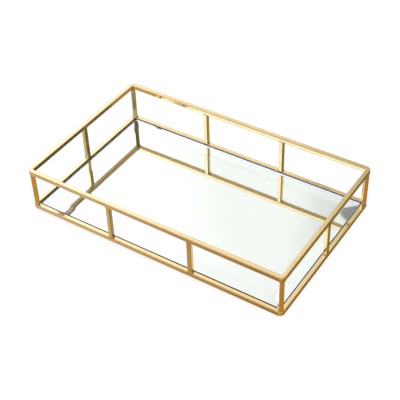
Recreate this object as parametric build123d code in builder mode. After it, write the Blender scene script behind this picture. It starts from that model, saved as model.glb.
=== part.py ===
from build123d import *
from math import sqrt
import os

# Dresser vanity tray: a bevelled mirror set in a gallery of square brass bar.
# Millimetres. X runs along the long sides, Y across, Z up. The origin is on the
# surface that the tray stands on, under the middle of the tray.

# Overall size
tray_length = 300.0
tray_width = 184.0
gallery_height = 50.0  # underside of the bottom rim to the top of the top rim

# Bars of the gallery
bar = 5.0  # side of the square bar, in both rims and in every post
corner_radius = 5.5  # outer corners of both rims, seen from above
edge_radius = 1.0  # softened long edges of every bar
mid_post_pitch = 95.2  # between the two mid posts of a long side
solder_leg = 1.1  # height and width of each concave solder fillet

# Mirror and its setting
glass_thickness = 3.0
bevel_width = 12.5
bevel_drop = 0.4
silvering_thickness = 0.2
tape_thickness = 1.3
tape_width = 18.0
tape_count = 5
tape_inset = 8.0  # from the ends of a tape strip to the edge of the glass
mirror_gap = 1.2  # all round, between the glass and the bottom rim
seal_sink = 0.1  # the edge seal stops this far below the rim of the glass

# Underside
base_thickness = 0.8
base_inset = 1.8  # inside the outline of the bottom rim
felt_thickness = 1.0
felt_inset = 2.2

# Heights that follow from the sizes above
base_bottom = felt_thickness
bottom_rim_bottom = base_bottom + base_thickness
bottom_rim_top = bottom_rim_bottom + bar
top_rim_top = bottom_rim_bottom + gallery_height
top_rim_bottom = top_rim_top - bar
post_height = top_rim_bottom - bottom_rim_top
silvering_bottom = bottom_rim_bottom + tape_thickness
glass_bottom = silvering_bottom + silvering_thickness
glass_top = glass_bottom + glass_thickness
glass_edge_top = glass_top - bevel_drop
seal_height = glass_edge_top - seal_sink - bottom_rim_bottom

# Plan sizes that follow
opening_length = tray_length - 2 * bar
opening_width = tray_width - 2 * bar
glass_length = opening_length - 2 * mirror_gap
glass_width = opening_width - 2 * mirror_gap

# A corner post is a bar turned to face the corner. The two edges of its outer
# face stand on the rounded corner of the rim.
corner_post_inset = corner_radius - (sqrt(corner_radius**2 - (bar / 2) ** 2) - bar / 2) / sqrt(2)
corner_post_x = tray_length / 2 - corner_post_inset
corner_post_y = tray_width / 2 - corner_post_inset
mid_post_x = mid_post_pitch / 2
side_x = (tray_length - bar) / 2  # centre line of the left and right bars
side_y = (tray_width - bar) / 2  # centre line of the front and rear bars

# Every post as name: (x, y, turn about Z in degrees)
posts = {
    "corner_post_front_left": (-corner_post_x, -corner_post_y, -45),
    "corner_post_front_right": (corner_post_x, -corner_post_y, 45),
    "corner_post_rear_left": (-corner_post_x, corner_post_y, 45),
    "corner_post_rear_right": (corner_post_x, corner_post_y, -45),
    "mid_post_front_left": (-mid_post_x, -side_y, 0),
    "mid_post_front_right": (mid_post_x, -side_y, 0),
    "mid_post_rear_left": (-mid_post_x, side_y, 0),
    "mid_post_rear_right": (mid_post_x, side_y, 0),
    "mid_post_left": (-side_x, 0, 90),
    "mid_post_right": (side_x, 0, 90),
}


def rim_outline(height):
    """Plan of a whole rim at one height: rounded outside, sharp inside."""
    with BuildSketch(Plane.XY.offset(height)) as plan:
        RectangleRounded(tray_length, tray_width, corner_radius)
        Rectangle(opening_length, opening_width, mode=Mode.SUBTRACT)
    return plan.sketch


def side_corners(side):
    """Corners of the mitred wedge that holds one side of a rim."""
    reach = 2 * bar  # past the rim, inwards and outwards
    x_out, x_in = tray_length / 2 + reach, tray_length / 2 - reach
    y_out, y_in = tray_width / 2 + reach, tray_width / 2 - reach
    corners = {
        "front": [(-x_out, -y_out), (x_out, -y_out), (x_in, -y_in), (-x_in, -y_in)],
        "rear": [(-x_out, y_out), (-x_in, y_in), (x_in, y_in), (x_out, y_out)],
        "left": [(-x_out, -y_out), (-x_in, -y_in), (-x_in, y_in), (-x_out, y_out)],
        "right": [(x_out, -y_out), (x_out, y_out), (x_in, y_in), (x_in, -y_in)],
    }
    return corners[side]


os.makedirs("parts", exist_ok=True)

# Rims: four bars each, mitred at the corners, the long edges softened.
for rim, rim_bottom in (("bottom", bottom_rim_bottom), ("top", top_rim_bottom)):
    for side in ("front", "rear", "left", "right"):
        with BuildPart() as rail:
            extrude(rim_outline(rim_bottom), amount=bar)
            level_edges = rail.edges().filter_by(Axis.Z, reverse=True)
            fillet(level_edges, radius=edge_radius)
            with BuildSketch(Plane.XY.offset(rim_bottom)):
                with BuildLine():
                    Polyline(*side_corners(side), close=True)
                make_face()
            extrude(amount=bar, mode=Mode.INTERSECT)
        rail.part.label = f"{rim}_rail_{side}"
        export_step(rail.part, f"parts/{rim}_rail_{side}.step")

# Posts: plain lengths of the same bar between the two rims.
for name, (x, y, turn) in posts.items():
    with BuildPart() as post:
        with BuildSketch(Plane((x, y, bottom_rim_top)).rotated((0, 0, turn))):
            RectangleRounded(bar, bar, edge_radius)
        extrude(amount=post_height)
    post.part.label = name
    export_step(post.part, f"parts/{name}.step")

# Solder: a concave fillet on each side of every post, where the rim has room.
for level, seat, rise in (("lower", bottom_rim_top, 1), ("upper", top_rim_bottom, -1)):
    with BuildPart() as solder:
        for x, y, turn in posts.values():
            post_frame = Plane((x, y, seat)).rotated((0, 0, turn))
            for hand in (-1, 1):
                toe = hand * (bar / 2 + solder_leg)
                root = hand * bar / 2
                upright = Plane(post_frame.origin, x_dir=post_frame.x_dir, z_dir=post_frame.y_dir)
                lift = rise * upright.y_dir.Z * solder_leg
                with BuildSketch(upright):
                    with BuildLine():
                        Line((root, 0), (toe, 0))
                        RadiusArc((toe, 0), (root, lift), hand * rise * upright.y_dir.Z * solder_leg)
                        Line((root, lift), (root, 0))
                    make_face()
                extrude(amount=bar / 2, both=True)
        with BuildSketch(Plane.XY.offset(seat)):
            RectangleRounded(
                tray_length - 2 * edge_radius, tray_width - 2 * edge_radius, corner_radius - edge_radius
            )
            Rectangle(
                opening_length + 2 * edge_radius, opening_width + 2 * edge_radius, mode=Mode.SUBTRACT
            )
        extrude(amount=rise * solder_leg, mode=Mode.INTERSECT)
    solder.part.label = f"solder_fillets_{level}"
    export_step(solder.part, f"parts/solder_fillets_{level}.step")

# Mirror: a plate with a flat middle and a shallow bevel all round.
with BuildPart() as mirror_glass:
    with BuildSketch(Plane.XY.offset(glass_bottom)):
        Rectangle(glass_length, glass_width)
    extrude(amount=glass_thickness - bevel_drop)
    with BuildSketch(Plane.XY.offset(glass_edge_top)):
        Rectangle(glass_length, glass_width)
    with BuildSketch(Plane.XY.offset(glass_top)):
        Rectangle(glass_length - 2 * bevel_width, glass_width - 2 * bevel_width)
    loft()
mirror_glass.part.label = "mirror_glass"
export_step(mirror_glass.part, "parts/mirror_glass.step")

# Silvering and its backing paint, on the underside of the glass.
with BuildPart() as mirror_silvering:
    with BuildSketch(Plane.XY.offset(silvering_bottom)):
        Rectangle(glass_length, glass_width)
    extrude(amount=silvering_thickness)
mirror_silvering.part.label = "mirror_silvering"
export_step(mirror_silvering.part, "parts/mirror_silvering.step")

# Foam tape that holds the mirror to the base sheet.
with BuildPart() as mounting_tape:
    with BuildSketch(Plane.XY.offset(bottom_rim_bottom)):
        with GridLocations(glass_length / tape_count, 0, tape_count, 1):
            Rectangle(tape_width, glass_width - 2 * tape_inset)
    extrude(amount=tape_thickness)
mounting_tape.part.label = "mounting_tape"
export_step(mounting_tape.part, "parts/mounting_tape.step")

# Edge seal: a dark bead in the gap between the glass and each bottom rail.
seal_x = (opening_length - mirror_gap) / 2
seal_y = (opening_width - mirror_gap) / 2
seals = {
    "front": (0, -seal_y, opening_length, mirror_gap),
    "rear": (0, seal_y, opening_length, mirror_gap),
    "left": (-seal_x, 0, mirror_gap, glass_width),
    "right": (seal_x, 0, mirror_gap, glass_width),
}
for side, (x, y, size_x, size_y) in seals.items():
    with BuildPart() as edge_seal:
        with BuildSketch(Plane((x, y, bottom_rim_bottom))):
            Rectangle(size_x, size_y)
        extrude(amount=seal_height)
    edge_seal.part.label = f"edge_seal_{side}"
    export_step(edge_seal.part, f"parts/edge_seal_{side}.step")

# Base sheet, soldered under the bottom rim, carries the tape and the mirror.
with BuildPart() as base_sheet:
    with BuildSketch(Plane.XY.offset(base_bottom)):
        RectangleRounded(
            tray_length - 2 * base_inset, tray_width - 2 * base_inset, corner_radius - base_inset
        )
    extrude(amount=base_thickness)
base_sheet.part.label = "base_sheet"
export_step(base_sheet.part, "parts/base_sheet.step")

# Felt glued under the base sheet, so that the tray doesn't scratch the dresser.
with BuildPart() as felt_underlay:
    with BuildSketch():
        RectangleRounded(
            tray_length - 2 * felt_inset, tray_width - 2 * felt_inset, corner_radius - felt_inset
        )
    extrude(amount=felt_thickness)
felt_underlay.part.label = "felt_underlay"
export_step(felt_underlay.part, "parts/felt_underlay.step")
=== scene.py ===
"""Dresser vanity tray: a bevelled mirror in a gallery of gold-plated square bar.

Laid out as an add-on and run as a script. Lengths in the property groups are metres.
"""

import math

import bpy
import numpy as np
from mathutils import Matrix, Vector


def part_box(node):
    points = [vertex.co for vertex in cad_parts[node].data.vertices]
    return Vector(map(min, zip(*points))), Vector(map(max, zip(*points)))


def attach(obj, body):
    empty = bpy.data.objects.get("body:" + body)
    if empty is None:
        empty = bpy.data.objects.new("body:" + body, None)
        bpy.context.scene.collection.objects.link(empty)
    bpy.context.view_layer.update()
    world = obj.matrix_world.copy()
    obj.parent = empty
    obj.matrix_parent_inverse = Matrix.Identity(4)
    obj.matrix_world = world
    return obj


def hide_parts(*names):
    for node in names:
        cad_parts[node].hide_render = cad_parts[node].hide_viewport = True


bl_info = {
    "name": "Dresser Vanity Tray",
    "version": (1, 0, 0),
    "blender": (4, 5, 0),
    "location": "View3D > Sidebar > Tray",
    "description": "Makes the bars, solder, mirror and underside of a mirrored vanity tray",
    "category": "Add Mesh",
}

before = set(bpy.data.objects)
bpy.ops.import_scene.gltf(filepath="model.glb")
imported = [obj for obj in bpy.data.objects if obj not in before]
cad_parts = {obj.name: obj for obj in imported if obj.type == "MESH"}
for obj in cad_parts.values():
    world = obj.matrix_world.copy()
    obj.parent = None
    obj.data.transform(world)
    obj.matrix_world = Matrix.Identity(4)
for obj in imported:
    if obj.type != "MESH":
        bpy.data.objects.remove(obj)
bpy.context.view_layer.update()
MM = 0.001
BODY = "root"
SIDES = ("front", "right", "rear", "left")
RIMS = ("bottom", "top")


def node_box(name):
    """Lowest and highest corner of a CAD node, as two arrays."""
    low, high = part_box(name)
    return np.array(low), np.array(high)


def size_of(name, axis):
    """Extent of a CAD node along one axis."""
    low, high = node_box(name)
    return float(high[axis] - low[axis])


def linear(hex_colour):
    """Linear RGBA of an sRGB colour written as #RRGGBB."""
    srgb = np.array([int(hex_colour[i : i + 2], 16) / 255 for i in (1, 3, 5)])
    rgb = np.where(srgb <= 0.04045, srgb / 12.92, ((srgb + 0.055) / 1.055) ** 2.4)
    return (*rgb.tolist(), 1.0)


# ---------------------------------------------------------------- what a user can change


class TraySizes(bpy.types.PropertyGroup):
    """Small sizes that the CAD model leaves to this script."""

    edge_radius: bpy.props.FloatProperty(
        name="Edge radius",
        description="Softened long edges of the square bar",
        default=1.0 * MM,
        unit="LENGTH",
    )
    corner_radius: bpy.props.FloatProperty(
        name="Corner radius",
        description="Outer corners of both rims, seen from above",
        default=5.5 * MM,
        unit="LENGTH",
    )
    inner_radius: bpy.props.FloatProperty(
        name="Inner corner radius",
        description="Weld left in the inner corners of both rims",
        default=0.6 * MM,
        unit="LENGTH",
    )
    solder_leg: bpy.props.FloatProperty(
        name="Solder leg",
        description="Height and width of the solder beside a post",
        default=1.1 * MM,
        unit="LENGTH",
    )
    solder_smear: bpy.props.FloatProperty(
        name="Solder smear",
        description="Solder left where a post is flush with the rim",
        default=0.1 * MM,
        unit="LENGTH",
    )
    bevel_width: bpy.props.FloatProperty(
        name="Bevel width",
        description="Width of the ground bevel round the mirror",
        default=12.5 * MM,
        unit="LENGTH",
    )
    bevel_drop: bpy.props.FloatProperty(
        name="Bevel drop",
        description="How far the bevel falls towards the edge of the glass",
        default=0.4 * MM,
        unit="LENGTH",
    )
    arris: bpy.props.FloatProperty(
        name="Arris",
        description="Width of the seamed edges of the glass",
        default=0.2 * MM,
        unit="LENGTH",
    )
    ridge_ease: bpy.props.FloatProperty(
        name="Ridge ease",
        description="Width over which the bevel turns into the flat of the mirror",
        default=0.5 * MM,
        unit="LENGTH",
    )


class TrayFinish(bpy.types.PropertyGroup):
    """Colours of the tray's own materials."""

    gold: bpy.props.FloatVectorProperty(
        name="Gold",
        description="Gold plating on the bars",
        subtype="COLOR",
        size=4,
        default=linear("#F7DB99"),
    )
    deep_gold: bpy.props.FloatVectorProperty(
        name="Deep gold",
        description="Gold where the plating is thicker or lightly tarnished",
        subtype="COLOR",
        size=4,
        default=linear("#F1CE86"),
    )
    solder: bpy.props.FloatVectorProperty(
        name="Solder",
        description="Plated solder at the ends of the posts",
        subtype="COLOR",
        size=4,
        default=linear("#EDBE79"),
    )
    silver: bpy.props.FloatVectorProperty(
        name="Silvering",
        description="Silver behind the glass",
        subtype="COLOR",
        size=4,
        default=linear("#F9FAF9"),
    )
    glass: bpy.props.FloatVectorProperty(
        name="Glass",
        description="Faint green of float glass",
        subtype="COLOR",
        size=4,
        default=linear("#FCFEFC"),
    )
    # Near black: the sealant's own colour, and also painted shade of the gap between glass and
    # rim.
    seal: bpy.props.FloatVectorProperty(
        name="Edge seal",
        description="Dark sealant round the mirror",
        subtype="COLOR",
        size=4,
        default=linear("#0B0A08"),
    )
    felt: bpy.props.FloatVectorProperty(
        name="Felt",
        description="Felt under the tray",
        subtype="COLOR",
        size=4,
        default=linear("#2B2A2C"),
    )


# ---------------------------------------------------------------- meshes from arrays


def grid_faces(rows, columns, wrap_rows, wrap_columns):
    """Quads between neighbouring rows and columns of a grid of points."""
    index = np.arange(rows * columns).reshape(rows, columns)
    if wrap_rows:
        index = np.vstack([index, index[:1]])
    if wrap_columns:
        index = np.hstack([index, index[:, :1]])
    quads = np.stack([index[:-1, :-1], index[1:, :-1], index[1:, 1:], index[:-1, 1:]], -1)
    return quads.reshape(-1, 4)


def is_inside_out(points, quads):
    """True if the quads' signed volume, the sum of corner triple products, is negative."""
    corner = points[quads]
    first = np.einsum("ij,ij->i", corner[:, 0], np.cross(corner[:, 1], corner[:, 2]))
    second = np.einsum("ij,ij->i", corner[:, 0], np.cross(corner[:, 2], corner[:, 3]))
    return float((first + second).sum()) < 0


def surface(points, normals=None, wrap_rows=False, wrap_columns=True, caps=False):
    """One closed surface from a grid: points (rows, columns, 3), and its quads and caps.

    A cap is one flat polygon that closes the first or the last row.
    """
    rows, columns = points.shape[:2]
    flat = points.reshape(-1, 3)
    quads = grid_faces(rows, columns, wrap_rows, wrap_columns)
    if is_inside_out(flat - flat.mean(0), quads):
        quads = quads[:, ::-1]
    first = np.arange(columns)
    last = first + (rows - 1) * columns
    ends = [first[::-1], last] if caps else []
    if caps and cap_faces_in(quads, ends[0]):
        ends = [end[::-1] for end in ends]
    return {"points": flat, "normals": normals, "quads": quads, "caps": ends}


def cap_faces_in(quads, cap):
    """True if a cap runs along its border the same way as the quads do, so it faces in."""
    edges = set(zip(quads.ravel().tolist(), np.roll(quads, -1, 1).ravel().tolist()))
    return (int(cap[0]), int(cap[1])) in edges


def make_piece(name, parts, material, stands_for, smooth=True, attribute=None):
    """Joins closed surfaces into one mesh object that rides on the tray and replaces CAD nodes."""
    start = 0
    polygons, loop_normals, values = [], [], []
    for part in parts:
        quads = part["quads"] + start
        polygons += quads.tolist()
        if part["normals"] is not None:
            flat_normals = part["normals"].reshape(-1, 3)
            loop_normals.append(flat_normals[part["quads"].ravel()])
        for cap in part["caps"]:
            polygons.append((cap + start).tolist())
            if part["normals"] is not None:
                ring = part["points"][cap]
                third = len(cap) // 3
                facing = np.cross(ring[third] - ring[0], ring[2 * third] - ring[0])
                facing = facing / np.linalg.norm(facing)
                loop_normals.append(np.tile(facing, (len(cap), 1)))
        if attribute is not None:
            values.append(part[attribute])
        start += len(part["points"])
    mesh = bpy.data.meshes.new(name)
    mesh.from_pydata(np.concatenate([part["points"] for part in parts]).tolist(), [], polygons)
    mesh.polygons.foreach_set("use_smooth", np.full(len(polygons), smooth))
    if loop_normals:
        mesh.normals_split_custom_set(np.concatenate(loop_normals).tolist())
    if attribute is not None:
        layer = mesh.attributes.new(attribute, "FLOAT", "POINT")
        layer.data.foreach_set("value", np.concatenate(values).astype(np.float32))
    mesh.update()
    mesh.materials.append(material)
    piece = bpy.data.objects.new(name, mesh)
    bpy.context.scene.collection.objects.link(piece)
    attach(piece, BODY)
    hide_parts(*stands_for)
    return piece


def square_loop(radius, steps):
    """Loop round a square of half side 1: corner signs and arc normals, each (columns, 2).

    A point of the loop is sign x (half side - radius) + normal x radius.
    """
    quarter = np.arange(4)[:, None] * math.pi / 2
    angle = (quarter + np.linspace(0, math.pi / 2, steps + 1)).ravel()
    normal = np.stack([np.cos(angle), np.sin(angle)], -1)
    sign = np.repeat(np.array([[1, 1], [-1, 1], [-1, -1], [1, -1]]), steps + 1, axis=0)
    return sign, normal


def outline(half_length, half_width, radius, steps=8):
    """Rounded rectangle in plan: corner centres plus the radius times (cos, sin)."""
    sign, normal = square_loop(radius, steps)
    centre = np.array([half_length - radius, half_width - radius])
    return sign * centre + normal * radius


def rings(rows, steps=8):
    """Grid of rounded rectangles, one row each, from (half length, half width, radius, z)."""
    levels = [
        np.column_stack([outline(a, b, r, steps), np.full(4 * (steps + 1), z)])
        for a, b, r, z in rows
    ]
    return np.stack(levels)


# ---------------------------------------------------------------- materials


def add(tree, kind, links=None, **settings):
    """Adds one node: links maps an input to a socket or a value, settings are its properties."""
    made = tree.nodes.new(kind)
    for key, value in settings.items():
        setattr(made, key, value)
    for key, value in (links or {}).items():
        if isinstance(value, bpy.types.NodeSocket):
            tree.links.new(value, made.inputs[key])
        else:
            made.inputs[key].default_value = value
    return made


def new_material(name):
    """An empty node material: its tree, its shader and Object coordinates."""
    material = bpy.data.materials.new(name)
    material.use_nodes = True
    tree = material.node_tree
    tree.nodes.clear()
    shader = add(tree, "ShaderNodeBsdfPrincipled")
    add(tree, "ShaderNodeOutputMaterial", {"Surface": shader.outputs["BSDF"]})
    place = add(tree, "ShaderNodeTexCoord").outputs["Object"]
    return material, tree, shader, place


def per_mm(millimetres):
    """Noise scale whose features are about that many millimetres across."""
    return 1000 / millimetres


def gold_plated_brass(finish):
    """Gold-plated brass, drawn square, polished and lacquered.

    The eye gets a warm mirror that wavers slightly from hand polishing, cloudy patches where
    fingers dulled the lacquer, and paler, rougher lines where the edges are rubbed.
    """
    material, tree, shader, place = new_material("gold_plated_brass_polished")
    cloud = add(
        tree,
        "ShaderNodeTexNoise",
        {"Vector": place, "Scale": per_mm(14), "Detail": 3.0, "Roughness": 0.55},
    )
    tarnish = add(
        tree,
        "ShaderNodeMix",
        {"Factor": cloud.outputs["Fac"], "A": finish.gold, "B": finish.deep_gold},
        data_type="RGBA",
    )
    grain = add(
        tree, "ShaderNodeTexNoise", {"Vector": place, "Scale": per_mm(0.8), "Detail": 2.0}
    )
    wear = add(tree, "ShaderNodeAttribute", attribute_name="edge_wear")
    rubbed = add(
        tree,
        "ShaderNodeMath",
        {0: wear.outputs["Fac"], 1: grain.outputs["Fac"]},
        operation="MULTIPLY",
    )
    colour = add(
        tree,
        "ShaderNodeMix",
        {"Factor": rubbed.outputs[0], "A": tarnish.outputs["Result"], "B": linear("#FFE9BE")},
        data_type="RGBA",
    )
    for mix in (tarnish, colour):
        mix.clamp_factor = True
    smudge = add(
        tree,
        "ShaderNodeMapRange",
        {"Value": cloud.outputs["Fac"], 1: 0.35, 2: 0.75, 3: 0.07, 4: 0.16},
    )
    rough = add(
        tree,
        "ShaderNodeMath",
        {0: rubbed.outputs[0], 1: 0.12, 2: smudge.outputs["Result"]},
        operation="MULTIPLY_ADD",
    )
    waver = add(
        tree, "ShaderNodeTexNoise", {"Vector": place, "Scale": per_mm(9), "Detail": 1.0}
    )
    bump = add(
        tree,
        "ShaderNodeBump",
        {"Height": waver.outputs["Fac"], "Strength": 0.5, "Distance": 0.05 * MM},
    )
    tree.links.new(colour.outputs["Result"], shader.inputs["Base Color"])
    tree.links.new(rough.outputs[0], shader.inputs["Roughness"])
    tree.links.new(bump.outputs["Normal"], shader.inputs["Normal"])
    shader.inputs["Metallic"].default_value = 1.0
    shader.inputs["Coat Weight"].default_value = 0.6
    shader.inputs["Coat Roughness"].default_value = 0.05
    return material


def plated_solder(finish):
    """Soft solder, plated with the bars and only lightly dressed.

    The eye gets small duller beads with a pebbled skin at every joint.
    """
    material, tree, shader, place = new_material("plated_solder_dressed")
    pebble = add(
        tree, "ShaderNodeTexNoise", {"Vector": place, "Scale": per_mm(0.9), "Detail": 3.0}
    )
    colour = add(
        tree,
        "ShaderNodeMix",
        {"Factor": pebble.outputs["Fac"], "A": finish.solder, "B": finish.deep_gold},
        data_type="RGBA",
    )
    rough = add(
        tree, "ShaderNodeMapRange", {"Value": pebble.outputs["Fac"], 3: 0.18, 4: 0.34}
    )
    bump = add(
        tree,
        "ShaderNodeBump",
        {"Height": pebble.outputs["Fac"], "Strength": 0.5, "Distance": 0.1 * MM},
    )
    tree.links.new(colour.outputs["Result"], shader.inputs["Base Color"])
    tree.links.new(rough.outputs["Result"], shader.inputs["Roughness"])
    tree.links.new(bump.outputs["Normal"], shader.inputs["Normal"])
    shader.inputs["Metallic"].default_value = 1.0
    return material


def float_glass(finish):
    """Float glass, its bevel ground and polished.

    The eye gets a clear plate with a faint green cast, a very slight haze of handling, and a
    thin grey line of painted shade along the ridge of the bevel.
    """
    material, tree, shader, place = new_material("float_glass_polished")
    haze = add(
        tree, "ShaderNodeTexNoise", {"Vector": place, "Scale": per_mm(35), "Detail": 4.0}
    )
    rough = add(
        tree, "ShaderNodeMapRange", {"Value": haze.outputs["Fac"], 1: 0.5, 2: 0.9, 3: 0.0, 4: 0.02}
    )
    ridge = add(tree, "ShaderNodeAttribute", attribute_name="ridge_painted_shade")
    # Painted shade: a grey line mixed into the glass colour along the ridge of the bevel.
    colour = add(
        tree,
        "ShaderNodeMix",
        {"Factor": ridge.outputs["Fac"], "A": finish.glass, "B": linear("#B9C0C2")},
        data_type="RGBA",
    )
    tree.links.new(colour.outputs["Result"], shader.inputs["Base Color"])
    tree.links.new(rough.outputs["Result"], shader.inputs["Roughness"])
    shader.inputs["IOR"].default_value = 1.52
    shader.inputs["Transmission Weight"].default_value = 1.0
    return material


def mirror_silver(finish):
    """Mirror silver, laid down from solution behind the glass and painted on its back.

    The eye gets a clean, very slightly uneven mirror.
    """
    material, tree, shader, place = new_material("mirror_silver_deposited")
    uneven = add(
        tree, "ShaderNodeTexNoise", {"Vector": place, "Scale": per_mm(60), "Detail": 2.0}
    )
    colour = add(
        tree,
        "ShaderNodeMix",
        {"Factor": uneven.outputs["Fac"], "A": finish.silver, "B": linear("#F3F5F2")},
        data_type="RGBA",
    )
    tree.links.new(colour.outputs["Result"], shader.inputs["Base Color"])
    shader.inputs["Metallic"].default_value = 1.0
    shader.inputs["Roughness"].default_value = 0.0
    return material


def sealant_and_gap_shade(finish):
    """Neutral-cure silicone, tooled into the gap round the mirror.

    The eye gets the thin black line that frames the mirror: a real sealant whose near-black colour
    also paints the shade in the gap between the glass and the rim.
    """
    material, tree, shader, place = new_material("silicone_sealant_and_gap_shade")
    ripple = add(
        tree, "ShaderNodeTexNoise", {"Vector": place, "Scale": per_mm(2.5), "Detail": 2.0}
    )
    # Near-black sealant colour, also painted shade of the gap round the mirror.
    colour = add(
        tree,
        "ShaderNodeMix",
        {"Factor": ripple.outputs["Fac"], "A": finish.seal, "B": linear("#16140F")},
        data_type="RGBA",
    )
    rough = add(
        tree, "ShaderNodeMapRange", {"Value": ripple.outputs["Fac"], 3: 0.38, 4: 0.6}
    )
    bump = add(
        tree,
        "ShaderNodeBump",
        {"Height": ripple.outputs["Fac"], "Strength": 0.4, "Distance": 0.1 * MM},
    )
    tree.links.new(colour.outputs["Result"], shader.inputs["Base Color"])
    tree.links.new(rough.outputs["Result"], shader.inputs["Roughness"])
    tree.links.new(bump.outputs["Normal"], shader.inputs["Normal"])
    return material


def lacquered_sheet(finish):
    """Sheet steel, sheared, plated and lacquered like the bars but left unpolished.

    The eye gets a duller gold line under the bottom rim, with fine rolling marks.
    """
    material, tree, shader, place = new_material("plated_steel_sheet_rolled")
    stretch = add(tree, "ShaderNodeMapping", {"Vector": place, "Scale": (0.05, 1.0, 1.0)})
    rolled = add(
        tree,
        "ShaderNodeTexNoise",
        {"Vector": stretch.outputs["Vector"], "Scale": per_mm(0.7), "Detail": 3.0},
    )
    colour = add(
        tree,
        "ShaderNodeMix",
        {"Factor": rolled.outputs["Fac"], "A": finish.deep_gold, "B": linear("#C99A55")},
        data_type="RGBA",
    )
    rough = add(
        tree, "ShaderNodeMapRange", {"Value": rolled.outputs["Fac"], 3: 0.25, 4: 0.42}
    )
    tree.links.new(colour.outputs["Result"], shader.inputs["Base Color"])
    tree.links.new(rough.outputs["Result"], shader.inputs["Roughness"])
    shader.inputs["Metallic"].default_value = 1.0
    return material


def wool_felt(finish):
    """Wool felt, pressed and cut to shape.

    The eye gets a soft, matted, faintly mottled dark cloth with fibres catching light.
    """
    material, tree, shader, place = new_material("wool_felt_pressed")
    fibres = add(
        tree,
        "ShaderNodeTexNoise",
        {
            "Vector": place,
            "Scale": per_mm(0.6),
            "Detail": 5.0,
            "Roughness": 0.7,
            "Distortion": 1.2,
        },
    )
    clumps = add(
        tree, "ShaderNodeTexNoise", {"Vector": place, "Scale": per_mm(7), "Detail": 3.0}
    )
    mottle = add(
        tree,
        "ShaderNodeMath",
        {0: fibres.outputs["Fac"], 1: clumps.outputs["Fac"]},
        operation="MULTIPLY",
    )
    spread = add(tree, "ShaderNodeMapRange", {"Value": mottle.outputs[0], 1: 0.12, 2: 0.4})
    colour = add(
        tree,
        "ShaderNodeMix",
        {"Factor": spread.outputs["Result"], "A": finish.felt, "B": linear("#4A484B")},
        data_type="RGBA",
    )
    bump = add(
        tree,
        "ShaderNodeBump",
        {"Height": fibres.outputs["Fac"], "Strength": 0.8, "Distance": 0.25 * MM},
    )
    tree.links.new(colour.outputs["Result"], shader.inputs["Base Color"])
    tree.links.new(bump.outputs["Normal"], shader.inputs["Normal"])
    shader.inputs["Roughness"].default_value = 0.95
    shader.inputs["Sheen Weight"].default_value = 0.35
    shader.inputs["Sheen Roughness"].default_value = 0.5
    return material


def foam_tape(finish):
    """Polyethylene foam tape, closed cell, between the mirror and its base sheet.

    The eye, if the mirror is lifted, gets a pale pored strip.
    """
    material, tree, shader, place = new_material("polyethylene_foam_tape")
    cells = add(tree, "ShaderNodeTexVoronoi", {"Vector": place, "Scale": per_mm(0.5)})
    colour = add(
        tree,
        "ShaderNodeMix",
        {"Factor": cells.outputs["Distance"], "A": linear("#B9B8B0"), "B": linear("#E6E5DE")},
        data_type="RGBA",
    )
    bump = add(
        tree,
        "ShaderNodeBump",
        {"Height": cells.outputs["Distance"], "Strength": 0.6, "Distance": 0.1 * MM},
    )
    tree.links.new(colour.outputs["Result"], shader.inputs["Base Color"])
    tree.links.new(bump.outputs["Normal"], shader.inputs["Normal"])
    shader.inputs["Roughness"].default_value = 0.85
    return material


# ---------------------------------------------------------------- bars of the gallery

ARC_STEPS = 6  # facets in each softened edge of a bar
CORNER_STEPS = 12  # facets from a rail's straight part to its mitre


def rail_surface(rim, side, sizes):
    """One mitred bar: a softened square carried from mitre to mitre.

    At each station the outer outline gives one point and the inner outline another, at the
    same corner angle t: outer = corner - R (1 - sin t, 1 - cos t), inner = inner corner
    - r (1 - sin t, 1 - cos t). The square is stretched between the two.
    """
    low, high = node_box(f"{rim}_rail_{side}")
    half = (node_box(f"{rim}_rail_right")[1][0], node_box(f"{rim}_rail_rear")[1][1])
    bar = float(high[2] - low[2])
    turn = SIDES.index(side) * math.pi / 2
    along = np.array([math.cos(turn), math.sin(turn)])
    outward = np.array([math.sin(turn), -math.cos(turn)])
    half_side = half[0] if side in ("front", "rear") else half[1]
    distance = half[1] if side in ("front", "rear") else half[0]

    swing = np.linspace(math.pi / 4, 0, CORNER_STEPS + 1)
    angle = np.concatenate([swing, swing[::-1]])
    hand = np.repeat([-1, 1], CORNER_STEPS + 1)
    outer_s = hand * (half_side - sizes.corner_radius * (1 - np.sin(angle)))
    outer_t = sizes.corner_radius * (1 - np.cos(angle))
    inner_s = hand * (half_side - bar - sizes.inner_radius * (1 - np.sin(angle)))
    inner_t = bar + sizes.inner_radius * (1 - np.cos(angle))

    def plan(s, t):
        return s[:, None] * along + (distance - t)[:, None] * outward

    outer, inner = plan(outer_s, outer_t), plan(inner_s, inner_t)
    width = np.linalg.norm(outer - inner, axis=1)
    across = (outer - inner) / width[:, None]
    facing = (hand * np.sin(angle))[:, None] * along + np.cos(angle)[:, None] * outward

    radius = sizes.edge_radius
    sign, normal = square_loop(radius, ARC_STEPS)
    reach = (width[:, None] / 2 - radius) * sign[:, 0] + radius * normal[:, 0]
    points = np.empty((len(angle), len(sign), 3))
    points[..., :2] = ((outer + inner) / 2)[:, None] + reach[..., None] * across[:, None]
    up = (bar / 2 - radius) * sign[:, 1] + radius * normal[:, 1]
    points[..., 2] = (low[2] + high[2]) / 2 + up
    normals = np.empty_like(points)
    normals[..., :2] = normal[:, 0, None] * facing[:, None]
    normals[..., 2] = normal[:, 1]
    part = surface(points, normals, caps=True)
    part["edge_wear"] = np.tile(edge_wear(normal), len(angle))
    return part


def edge_wear(normal):
    """1 in the middle of a softened edge and 0 on the flats: sin of twice the normal's angle."""
    return np.abs(2 * normal[:, 0] * normal[:, 1])


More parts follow.
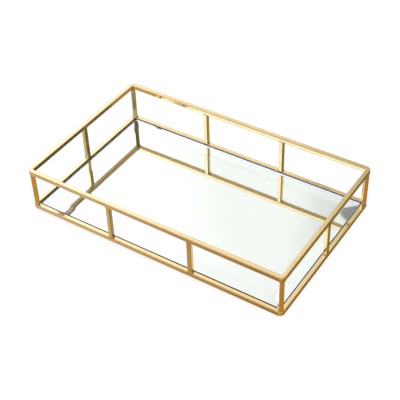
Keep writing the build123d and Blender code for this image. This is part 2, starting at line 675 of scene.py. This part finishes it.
def post_frame(name):
    """Centre in plan, lower and upper end, half side and turn of a post, from its CAD node."""
    low, high = node_box(name)
    centre = (low + high)[:2] / 2
    bar = size_of("bottom_rail_front", 2)
    corner = name.startswith("corner")
    turn = 0.0
    if corner:
        turn = math.pi / 4 if centre[0] * centre[1] < 0 else -math.pi / 4
    elif abs(centre[1]) < bar:
        turn = math.pi / 2
    return centre, float(low[2]), float(high[2]), bar / 2, turn


def turned(points, turn):
    """Plan points or normals turned about Z."""
    c, s = math.cos(turn), math.sin(turn)
    return points @ np.array([[c, s], [-s, c]])


def post_surface(name, sizes):
    """One post: the same softened square carried straight up, let into the rims by a hair."""
    centre, low, high, half, turn = post_frame(name)
    sign, normal = square_loop(sizes.edge_radius, ARC_STEPS)
    loop = turned(sign * (half - sizes.edge_radius) + normal * sizes.edge_radius, turn) + centre
    let_in = 0.05 * MM
    heights = np.linspace(low - let_in, high + let_in, 9)
    points = np.empty((len(heights), len(loop), 3))
    points[..., :2] = loop
    points[..., 2] = heights[:, None]
    normals = np.zeros_like(points)
    normals[..., :2] = turned(normal, turn)
    part = surface(points, normals, caps=True)
    part["edge_wear"] = np.tile(edge_wear(normal), len(heights))
    return part


def solder_surface(name, level, sizes, random):
    """Solder round one end of a post: a concave quarter arc carried round the post.

    With leg L at a point of the loop, the skin is L (1 - sin a) out from the post and
    L (1 - cos a) up it. L is the full leg beside the post and a smear where it is flush.
    """
    centre, low, high, half, turn = post_frame(name)
    sign, normal = square_loop(sizes.edge_radius, ARC_STEPS)
    loop = sign * (half - sizes.edge_radius) + normal * sizes.edge_radius
    beside = np.abs(normal[:, 0]) ** 3
    phase = random.uniform(0, 2 * math.pi, 2)
    angle = np.arctan2(normal[:, 1], normal[:, 0])
    two_lumps, three_lumps = 0.12, 0.08  # share of the leg that the bead's unevenness takes
    lumps = 1 + two_lumps * np.sin(2 * angle + phase[0])
    lumps = lumps + three_lumps * np.sin(3 * angle + phase[1])
    leg = (sizes.solder_smear + (sizes.solder_leg - sizes.solder_smear) * beside) * lumps
    swing = np.linspace(0, math.pi / 2, 8)[:, None]
    out = leg * (1 - np.sin(swing))
    up = leg * (1 - np.cos(swing))
    buried = 0.12 * MM
    out = np.vstack([out, np.full((2, len(leg)), -buried), out[:1]])
    up = np.vstack([up, up[-1:], np.full((2, len(leg)), -buried)])
    seat, rise = (low, 1) if level == "lower" else (high, -1)
    points = np.empty((*out.shape, 3))
    points[..., :2] = turned(loop + out[..., None] * normal, turn) + centre
    half_length = node_box("bottom_rail_right")[1][0] - buried
    half_width = node_box("bottom_rail_rear")[1][1] - buried
    points[..., 0] = np.clip(points[..., 0], -half_length, half_length)
    points[..., 1] = np.clip(points[..., 1], -half_width, half_width)
    points[..., 2] = seat + rise * up
    return surface(points, wrap_rows=True)


class TrayOperator:
    """What the tray's operators share: their settings, and undo."""

    bl_options = {"REGISTER", "UNDO"}

    @property
    def sizes(self):
        return bpy.context.scene.tray_sizes

    @property
    def finish(self):
        return bpy.context.scene.tray_finish


class TRAY_OT_rims(TrayOperator, bpy.types.Operator):
    """Make the four mitred bars of the bottom rim and of the top rim"""

    bl_idname = "tray.rims"
    bl_label = "Rims"

    def execute(self, context):
        gold = gold_plated_brass(self.finish)
        for rim in RIMS:
            for side in SIDES:
                part = rail_surface(rim, side, self.sizes)
                make_piece(
                    f"{rim}_rim_{side}_bar",
                    [part],
                    gold,
                    [f"{rim}_rail_{side}"],
                    attribute="edge_wear",
                )
        return {"FINISHED"}


def post_names():
    """Names of the CAD nodes that are posts."""
    return sorted(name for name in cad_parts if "_post_" in name)


class TRAY_OT_posts(TrayOperator, bpy.types.Operator):
    """Make the four corner posts and the six mid posts"""

    bl_idname = "tray.posts"
    bl_label = "Posts"

    def execute(self, context):
        gold = bpy.data.materials["gold_plated_brass_polished"]
        for name in post_names():
            part = post_surface(name, self.sizes)
            make_piece(f"{name}_bar", [part], gold, [name], attribute="edge_wear")
        return {"FINISHED"}


class TRAY_OT_solder(TrayOperator, bpy.types.Operator):
    """Make the solder round both ends of every post"""

    bl_idname = "tray.solder"
    bl_label = "Solder"

    def execute(self, context):
        solder = plated_solder(self.finish)
        random = np.random.default_rng(7)
        for level in ("lower", "upper"):
            parts = [solder_surface(name, level, self.sizes, random) for name in post_names()]
            make_piece(
                f"{level}_solder", parts, solder, [f"solder_fillets_{level}"]
            )
        return {"FINISHED"}


# ---------------------------------------------------------------- mirror and underside


class TRAY_OT_mirror(TrayOperator, bpy.types.Operator):
    """Make the bevelled glass over the silvering"""

    bl_idname = "tray.mirror"
    bl_label = "Mirror"

    def execute(self, context):
        low, high = node_box("mirror_glass")
        half_length, half_width = high[:2]
        sizes = self.sizes
        clear = 0.01 * MM  # keeps the glass off the silver, whose top lies on the same plane
        edge_top = high[2] - sizes.bevel_drop
        slope = sizes.bevel_drop / sizes.bevel_width
        arris, ease = sizes.arris, sizes.ridge_ease
        steps_in = (
            # inset from the edge, corner radius, height
            (arris, 0.6 * MM, low[2] + clear),
            (0, 0.8 * MM, low[2] + clear + arris),
            (0, 0.8 * MM, edge_top - arris / 2),
            (arris, 0.6 * MM, edge_top + slope * arris),
            (sizes.bevel_width - 1.5 * ease, 0.05 * MM, high[2] - slope * 1.5 * ease),
            (sizes.bevel_width - ease / 2, 0.05 * MM, high[2] - slope * ease / 2),
            (sizes.bevel_width + ease / 2, 0.05 * MM, high[2]),
            (sizes.bevel_width + 1.5 * ease, 0.05 * MM, high[2]),
        )
        rows = [(half_length - inset, half_width - inset, r, z) for inset, r, z in steps_in]
        grid = rings(rows, steps=4)
        plate = surface(grid, caps=True)
        ridge = np.zeros(len(rows))
        ridge[-3:-1] = 1.0
        # The painted shade along the ridge is faint at the front right and plain at the rear left.
        faintest = 0.25
        left = 0.5 - grid[..., 0] / (2 * half_length)
        rear = 0.5 + grid[..., 1] / (2 * half_width)
        plate["ridge_painted_shade"] = (
            ridge[:, None] * (faintest + (1 - faintest) * left * rear)
        ).ravel()
        make_piece(
            "bevelled_mirror_glass",
            [plate],
            float_glass(self.finish),
            ["mirror_glass"],
            smooth=False,
            attribute="ridge_painted_shade",
        )
        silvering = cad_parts["mirror_silvering"]
        silvering.data.materials.clear()
        silvering.data.materials.append(mirror_silver(self.finish))
        return {"FINISHED"}


class TRAY_OT_edge_seal(TrayOperator, bpy.types.Operator):
    """Make the dark bead between the glass and the bottom rim"""

    bl_idname = "tray.edge_seal"
    bl_label = "Edge seal"

    def execute(self, context):
        front_low, front_high = node_box("edge_seal_front")
        right_high = node_box("edge_seal_right")[1]
        half_length, half_width = right_high[0], -front_low[1]
        gap = float(front_high[1] - front_low[1])
        bottom, top = float(front_low[2]), float(front_high[2])
        bonded = 0.25 * MM  # depth to which the bead holds the glass
        overlap = 0.02 * MM
        film = 0.05 * MM  # air below that, which keeps the rest of the glass edge bright
        # Meniscus: the bead climbs the rail by the square of the distance from the glass.
        climb_at_rail = 0.35 * MM
        away = np.linspace(1, 0, 11)
        climb = climb_at_rail * away**2
        skin = [((gap + overlap) * (1 - share), top + rise) for share, rise in zip(away, climb)]
        walls = [(gap + overlap, top - bonded), (gap - film, top - bonded)]
        walls += [(gap - film, bottom), (0, bottom)]
        rows = [
            (half_length - inset, half_width - inset, 0.1 * MM, z) for inset, z in skin + walls
        ]
        bead = surface(rings(rows, steps=3), wrap_rows=True)
        make_piece(
            "mirror_edge_seal",
            [bead],
            sealant_and_gap_shade(self.finish),
            [f"edge_seal_{side}" for side in SIDES],
            smooth=False,
        )
        return {"FINISHED"}


def corner_inside_rim(high, sizes):
    """Corner radius of a sheet under the rim: the rim's own less the sheet's inset from it."""
    return sizes.corner_radius - (node_box("bottom_rail_right")[1][0] - high[0])


def soft_edged_plate(low, high, corner, edge, steps=8):
    """A flat plate whose rim is a half round of rounded rectangles, from bottom to top."""
    turn = np.linspace(-math.pi / 2, math.pi / 2, 9)
    middle, half_height = (low[2] + high[2]) / 2, (high[2] - low[2]) / 2
    rows = [
        (
            high[0] - edge * (1 - math.cos(a)),
            high[1] - edge * (1 - math.cos(a)),
            corner - edge * (1 - math.cos(a)),
            middle + math.copysign(half_height - edge, a) * (abs(a) > 1e-9) + edge * math.sin(a),
        )
        for a in turn
    ]
    return surface(rings(rows, steps), caps=True)


class TRAY_OT_base(TrayOperator, bpy.types.Operator):
    """Make the base sheet under the bottom rim"""

    bl_idname = "tray.base"
    bl_label = "Base sheet"

    def execute(self, context):
        low, high = node_box("base_sheet")
        sheared_edge = 0.2 * MM  # rounding left by the shear
        plate = soft_edged_plate(low, high, corner_inside_rim(high, self.sizes), sheared_edge)
        make_piece(
            "soldered_base_sheet",
            [plate],
            lacquered_sheet(self.finish),
            ["base_sheet"],
            smooth=False,
        )
        return {"FINISHED"}


class TRAY_OT_tape(TrayOperator, bpy.types.Operator):
    """Give the foam tape under the mirror its material"""

    bl_idname = "tray.tape"
    bl_label = "Mounting tape"

    def execute(self, context):
        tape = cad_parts["mounting_tape"]
        tape.data.materials.clear()
        tape.data.materials.append(foam_tape(self.finish))
        return {"FINISHED"}


class TRAY_OT_felt(TrayOperator, bpy.types.Operator):
    """Make the felt that the tray stands on"""

    bl_idname = "tray.felt"
    bl_label = "Felt underlay"

    def execute(self, context):
        low, high = node_box("felt_underlay")
        corner = corner_inside_rim(high, self.sizes)
        edge = 0.35 * MM  # rounding of the cut edge
        rounds, inmost = 20, 0.04  # outlines on each face, and the size of the smallest
        growing = np.linspace(inmost, 1, rounds)
        share = np.concatenate([growing, growing[::-1]])
        height = np.repeat([high[2], low[2]], rounds)
        rows = []
        for s, z in zip(share, height):
            inset = edge if s == 1 else 0
            rows.append((s * (high[0] - inset), s * (high[1] - inset), s * corner, z))
        grid = rings(rows, steps=10)
        rim = rings([(high[0], high[1], corner, (low[2] + high[2]) / 2)], steps=10)
        grid = np.concatenate([grid[:rounds], rim, grid[rounds:]])
        # The lower face waves by 0.06 mm either way, every 43 mm along X and 31 mm along Y.
        wave_height, wave_x, wave_y = 0.06 * MM, 43 * MM, 31 * MM
        wave = np.sin(grid[..., 0] * 2 * math.pi / wave_x + 1)
        wave = wave * np.sin(grid[..., 1] * 2 * math.pi / wave_y)
        under = (grid[..., 2] < low[2] + 1e-6).astype(float)
        grid[..., 2] += under * wave_height * (1 + wave)
        felt = surface(grid, caps=True)
        piece = make_piece(
            "felt_underlay_cloth",
            [felt],
            wool_felt(self.finish),
            ["felt_underlay"],
        )
        return {"FINISHED"}


# ---------------------------------------------------------------- stage, light and camera


def azimuth_direction(azimuth, elevation):
    """Unit vector: azimuth in degrees from +Y towards +X, elevation above the horizon."""
    a, e = math.radians(azimuth), math.radians(elevation)
    return (math.sin(a) * math.cos(e), math.cos(a) * math.cos(e), math.sin(e))


FILL_AZIMUTH = 125  # of the big fill light
NO_LIMIT = 2.0
SOFTBOXES = (
    # azimuth, elevation, cosine where it starts, cosine where it is full, strength, and the
    # height, as a sine, above which it is cut off
    (-70, 42, 0.74, 0.86, 0.95, NO_LIMIT),
    (-90, 35, 0.70, 0.80, 0.40, NO_LIMIT),
    (-149, 37.5, 0.955, 0.985, 1.40, NO_LIMIT),
    (20, 45, 0.94, 0.99, 0.80, NO_LIMIT),
    (5, 22, 0.93, 0.97, 0.80, NO_LIMIT),
    (FILL_AZIMUTH, 30, 0.42, 0.66, 0.90, 0.60),
)
ROOM = 0.1  # what shiny surfaces see of the room between the softboxes
OVERHEAD = 0.8  # and straight above
MATT_SKY = 0.75  # what matt surfaces see of the world
# A small dark flag in front of the softbox: azimuth, elevation, two cosines, what it lets by
FLAG = (-25.0, 40.0, 0.99988, 0.99993, 0.3)
TABLE_TONES = (
    # azimuth, what shiny surfaces see of the table in that direction
    (-180, "#B19065"),
    (-156, "#A98650"),
    (-151, "#AA864F"),
    (-148.5, "#B0905D"),
    (-146, "#B8A07C"),
    (-143, "#C0AC8C"),
    (-140, "#CDBEAA"),
    (-137, "#D8CCC0"),
    (-133, "#D2CCCC"),
    (-90, "#D2CCCC"),
    (-40, "#C0B59E"),
    (20, "#83754A"),
    (26, "#7F7350"),
    (33, "#B09E74"),
    (41, "#AD9B70"),
    (60, "#7C6E58"),
    (105, "#A98A55"),
    (116, "#BC8F4E"),
    (137, "#C9A25E"),
)


def sky_strength(tree, direction, height):
    """Sum of the softboxes, shaded high up, in a dim room that is bright overhead."""
    total = 0.0
    for azimuth, elevation, start, full, strength, limit in SOFTBOXES:
        towards = add(
            tree,
            "ShaderNodeVectorMath",
            {0: direction, 1: azimuth_direction(azimuth, elevation)},
            operation="DOT_PRODUCT",
        )
        glow = add(
            tree,
            "ShaderNodeMapRange",
            {"Value": towards.outputs["Value"], 1: start, 2: full, 3: 0.0, 4: strength},
            interpolation_type="SMOOTHSTEP",
        )
        below = add(
            tree, "ShaderNodeMapRange", {"Value": height, 1: limit - 0.1, 2: limit, 3: 1.0, 4: 0.0}
        )
        total = add(
            tree,
            "ShaderNodeMath",
            {0: glow.outputs["Result"], 1: below.outputs["Result"], 2: total},
            operation="MULTIPLY_ADD",
        ).outputs[0]
    ceiling = add(
        tree,
        "ShaderNodeMapRange",
        {"Value": height, 1: 0.76, 2: 0.88, 3: 1.0, 4: 0.1},
        interpolation_type="SMOOTHSTEP",
    )
    overhead = add(
        tree,
        "ShaderNodeMapRange",
        {"Value": height, 1: 0.925, 2: 0.97, 3: ROOM, 4: OVERHEAD},
        interpolation_type="SMOOTHSTEP",
    )
    lit = add(
        tree,
        "ShaderNodeMath",
        {0: total, 1: ceiling.outputs["Result"], 2: overhead.outputs["Result"]},
        operation="MULTIPLY_ADD",
    )
    stretch = add(
        tree,
        "ShaderNodeMapping",
        {"Vector": direction, "Rotation": (0.0, 0.0, 0.9), "Scale": (9.0, 2.5, 7.0)},
    )
    cloud = add(
        tree,
        "ShaderNodeTexNoise",
        {"Vector": stretch.outputs["Vector"], "Scale": 1.0, "Detail": 3.0},
    )
    veil = add(
        tree,
        "ShaderNodeMapRange",
        {"Value": cloud.outputs["Fac"], 1: 0.52, 2: 0.70, 3: 1.0, 4: 0.86},
        interpolation_type="SMOOTHSTEP",
    )
    veiled = add(
        tree,
        "ShaderNodeMath",
        {0: lit.outputs[0], 1: veil.outputs["Result"]},
        operation="MULTIPLY",
    )
    towards = add(
        tree,
        "ShaderNodeVectorMath",
        {0: direction, 1: azimuth_direction(*FLAG[:2])},
        operation="DOT_PRODUCT",
    )
    flag = add(
        tree,
        "ShaderNodeMapRange",
        {"Value": towards.outputs["Value"], 1: FLAG[2], 2: FLAG[3], 3: 1.0, 4: FLAG[4]},
    )
    return add(
        tree,
        "ShaderNodeMath",
        {0: veiled.outputs[0], 1: flag.outputs["Result"]},
        operation="MULTIPLY",
    ).outputs[0]


def table_colour(tree, direction, apart):
    """Tone of the table by azimuth, the angle atan2(x, y), dim underfoot and far away.

    On the side of the big fill light the far table stays bright.
    """
    fill_side = add(
        tree,
        "ShaderNodeVectorMath",
        {0: direction, 1: azimuth_direction(FILL_AZIMUTH, 0)},
        operation="DOT_PRODUCT",
    )
    far_tone = add(
        tree,
        "ShaderNodeMapRange",
        {"Value": fill_side.outputs["Value"], 1: 0.3, 2: 0.55, 3: 0.3, 4: 1.2},
        interpolation_type="SMOOTHSTEP",
    )
    angle = add(
        tree,
        "ShaderNodeMath",
        {0: apart.outputs["X"], 1: apart.outputs["Y"]},
        operation="ARCTAN2",
    )
    share = add(
        tree, "ShaderNodeMapRange", {"Value": angle.outputs[0], 1: -math.pi, 2: math.pi}
    )
    ramp = add(tree, "ShaderNodeValToRGB", {"Fac": share.outputs["Result"]})
    stops = ramp.color_ramp.elements
    while len(stops) < len(TABLE_TONES):
        stops.new(1.0)
    for stop, (azimuth, tone) in zip(stops, TABLE_TONES):
        stop.position = (azimuth + 180) / 360
        stop.color = linear(tone)
    near = add(
        tree,
        "ShaderNodeMapRange",
        {"Value": apart.outputs["Z"], 1: -0.90, 2: -0.78, 3: 0.2, 4: 1.0},
        interpolation_type="SMOOTHSTEP",
    )
    far = add(
        tree,
        "ShaderNodeMapRange",
        {"Value": apart.outputs["Z"], 1: -0.52, 2: -0.25, 3: 1.0, 4: far_tone.outputs["Result"]},
        interpolation_type="SMOOTHSTEP",
    )
    dim = add(
        tree,
        "ShaderNodeMath",
        {0: near.outputs["Result"], 1: far.outputs["Result"]},
        operation="MULTIPLY",
    )
    tone = add(
        tree,
        "ShaderNodeVectorMath",
        {0: ramp.outputs["Color"], "Scale": dim.outputs[0]},
        operation="SCALE",
    )
    return tone.outputs["Vector"]


def studio_world():
    """White to the camera, plain to matt surfaces, softboxes over a table to shiny ones."""
    world = bpy.data.worlds.new("studio")
    bpy.context.scene.world = world
    world.use_nodes = True
    tree = world.node_tree
    tree.nodes.clear()
    direction = add(tree, "ShaderNodeTexCoord").outputs["Generated"]
    apart = add(tree, "ShaderNodeSeparateXYZ", {"Vector": direction})
    strength = sky_strength(tree, direction, apart.outputs["Z"])
    cool = add(tree, "ShaderNodeMapRange", {"Value": strength, 1: 1.12, 2: 1.4})
    sky_tint = add(
        tree,
        "ShaderNodeMix",
        {"Factor": cool.outputs["Result"], "A": (1.0, 1.0, 1.0, 1.0), "B": (0.97, 1.0, 1.3, 1.0)},
        data_type="RGBA",
    )
    sky = add(
        tree,
        "ShaderNodeVectorMath",
        {0: sky_tint.outputs["Result"], "Scale": strength},
        operation="SCALE",
    )
    above = add(
        tree, "ShaderNodeMapRange", {"Value": apart.outputs["Z"], 1: -0.02, 2: 0.02}
    )
    seen = add(
        tree,
        "ShaderNodeMix",
        {
            "Factor": above.outputs["Result"],
            "A": table_colour(tree, direction, apart),
            "B": sky.outputs["Vector"],
        },
        data_type="RGBA",
    )
    shiny = add(tree, "ShaderNodeBackground", {"Color": seen.outputs["Result"]})
    ray = add(tree, "ShaderNodeLightPath")
    level = add(
        tree, "ShaderNodeMapRange", {"Value": ray.outputs["Is Camera Ray"], 3: MATT_SKY, 4: 1.0}
    )
    plain = add(
        tree,
        "ShaderNodeBackground",
        {"Color": (1.0, 1.0, 1.0, 1.0), "Strength": level.outputs["Result"]},
    )
    is_plain = add(
        tree,
        "ShaderNodeMath",
        {0: ray.outputs["Is Camera Ray"], 1: ray.outputs["Is Diffuse Ray"]},
        operation="MAXIMUM",
    )
    light = add(
        tree,
        "ShaderNodeMixShader",
        {0: is_plain.outputs[0], 1: shiny.outputs[0], 2: plain.outputs[0]},
    )
    add(tree, "ShaderNodeOutputWorld", {"Surface": light.outputs[0]})
    world.cycles.sampling_method = "NONE"


def studio_floor():
    """A wide floor: white with the tray's soft shadow; shiny surfaces see the world's table."""
    points = rings([(3.0, 3.0, 0.5, -0.01), (3.0, 3.0, 0.5, 0.0)])
    plate = surface(points, caps=True)
    mesh = bpy.data.meshes.new("studio_floor")
    polygons = plate["quads"].tolist() + [cap.tolist() for cap in plate["caps"]]
    mesh.from_pydata(plate["points"].tolist(), [], polygons)
    floor = bpy.data.objects.new("studio_floor", mesh)
    bpy.context.scene.collection.objects.link(floor)
    floor.visible_glossy = False
    floor.visible_transmission = False

    material = bpy.data.materials.new("studio_floor_white")
    material.use_nodes = True
    tree = material.node_tree
    tree.nodes.clear()
    matt = add(tree, "ShaderNodeBsdfDiffuse", {"Color": linear("#7C7C7C")})
    lift = add(tree, "ShaderNodeEmission", {"Color": (1, 1, 1, 1), "Strength": 0.86})
    white = add(tree, "ShaderNodeAddShader", {0: matt.outputs[0], 1: lift.outputs[0]})
    ray = add(tree, "ShaderNodeLightPath")
    to_camera = add(
        tree,
        "ShaderNodeMixShader",
        {0: ray.outputs["Is Camera Ray"], 1: matt.outputs[0], 2: white.outputs[0]},
    )
    add(tree, "ShaderNodeOutputMaterial", {"Surface": to_camera.outputs[0]})
    mesh.materials.append(material)


def studio_lamp():
    """One wide soft lamp from the upper left rear, which gives the floor its soft shadow."""
    light = bpy.data.lights.new("soft_lamp", "AREA")
    light.shape = "DISK"
    light.size = 1.4
    light.energy = 9.0
    lamp = bpy.data.objects.new("soft_lamp", light)
    bpy.context.scene.collection.objects.link(lamp)
    lamp.location = (-0.55, 0.5, 1.6)
    lamp.rotation_euler = (-Vector(lamp.location)).to_track_quat("-Z", "Y").to_euler()
    lamp.visible_glossy = False
    lamp.visible_transmission = False


def studio_camera():
    """Camera from the front right, looking down: target, distance, and three angles."""
    azimuth, elevation, roll = (math.radians(v) for v in (34.238, 41.251, -2.137))
    distance = 1.0019
    target = Vector((-0.00165, 0.00356, 0.0065))
    back = Vector(
        (
            math.sin(azimuth) * math.cos(elevation),
            -math.cos(azimuth) * math.cos(elevation),
            math.sin(elevation),
        )
    )
    level = Vector((0, 0, 1)).cross(back).normalized()
    upright = back.cross(level)
    right = level * math.cos(roll) + upright * math.sin(roll)
    up = upright * math.cos(roll) - level * math.sin(roll)
    data = bpy.data.cameras.new("camera")
    data.lens = 85.83
    data.sensor_width = 36.0
    data.clip_start = 0.05
    camera = bpy.data.objects.new("camera", data)
    bpy.context.scene.collection.objects.link(camera)
    turn = Matrix((right, up, back)).transposed().to_4x4()
    camera.matrix_world = Matrix.Translation(target + back * distance) @ turn
    bpy.context.scene.camera = camera


class TRAY_OT_stage(TrayOperator, bpy.types.Operator):
    """Make the floor, the surroundings, the lamp and the camera"""

    bl_idname = "tray.stage"
    bl_label = "Stage"

    def execute(self, context):
        studio_world()
        studio_floor()
        studio_lamp()
        studio_camera()
        context.scene.view_settings.view_transform = "Standard"
        return {"FINISHED"}


class VIEW3D_PT_tray(bpy.types.Panel):
    """Sidebar panel that lists the tray's settings and operators"""

    bl_label = "Vanity Tray"
    bl_space_type = "VIEW_3D"
    bl_region_type = "UI"
    bl_category = "Tray"

    def draw(self, context):
        column = self.layout.column()
        for group in (context.scene.tray_sizes, context.scene.tray_finish):
            for name in group.__annotations__:
                column.prop(group, name)
        for operator in OPERATORS:
            column.operator(operator.bl_idname)


OPERATORS = (
    TRAY_OT_stage,
    TRAY_OT_rims,
    TRAY_OT_posts,
    TRAY_OT_solder,
    TRAY_OT_mirror,
    TRAY_OT_edge_seal,
    TRAY_OT_tape,
    TRAY_OT_base,
    TRAY_OT_felt,
)
CLASSES = (TraySizes, TrayFinish, *OPERATORS, VIEW3D_PT_tray)


def register():
    for kind in CLASSES:
        bpy.utils.register_class(kind)
    bpy.types.Scene.tray_sizes = bpy.props.PointerProperty(type=TraySizes)
    bpy.types.Scene.tray_finish = bpy.props.PointerProperty(type=TrayFinish)


def unregister():
    del bpy.types.Scene.tray_finish
    del bpy.types.Scene.tray_sizes
    for kind in reversed(CLASSES):
        bpy.utils.unregister_class(kind)


def main():
    register()
    for operator in OPERATORS:
        group, name = operator.bl_idname.split(".")
        getattr(getattr(bpy.ops, group), name)()


if __name__ == "__main__":
    main()
